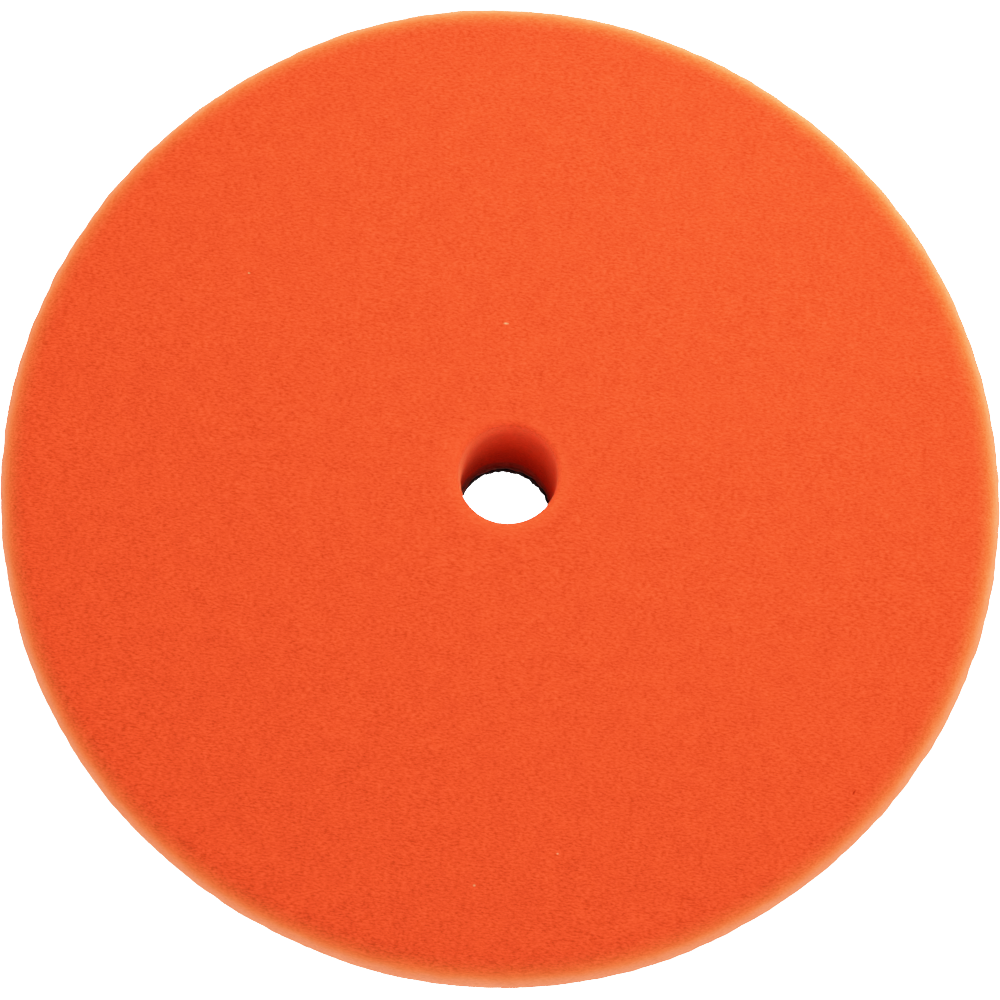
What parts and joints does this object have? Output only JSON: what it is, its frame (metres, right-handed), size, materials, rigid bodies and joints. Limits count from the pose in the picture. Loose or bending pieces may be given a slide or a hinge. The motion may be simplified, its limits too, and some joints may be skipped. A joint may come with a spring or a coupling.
{
  "type": "polishing pad",
  "caption": "Flat round open-cell foam polishing pad with a rounded face edge, a tapered wall, a through centring hole and a hook-and-loop back.",
  "frame": {"origin": "centre of the back, in the plane where the loop pile meets the backing plate or the surface that the pad lies on", "axes": "+Z along the hole's axis, from the loop back towards the polishing face; X and Y are any two directions across the pad"},
  "size_m": [0.15, 0.15, 0.0305],
  "materials": {
    "foam": "matte",
    "glue": "satin",
    "backing": "matte",
    "loops": "matte"
  },
  "bodies": {
    "root": {"foam_pad": "foam", "glue_film": "glue", "backing_cloth": "backing", "loop_pile": "loops"}
  },
  "joints": []
}
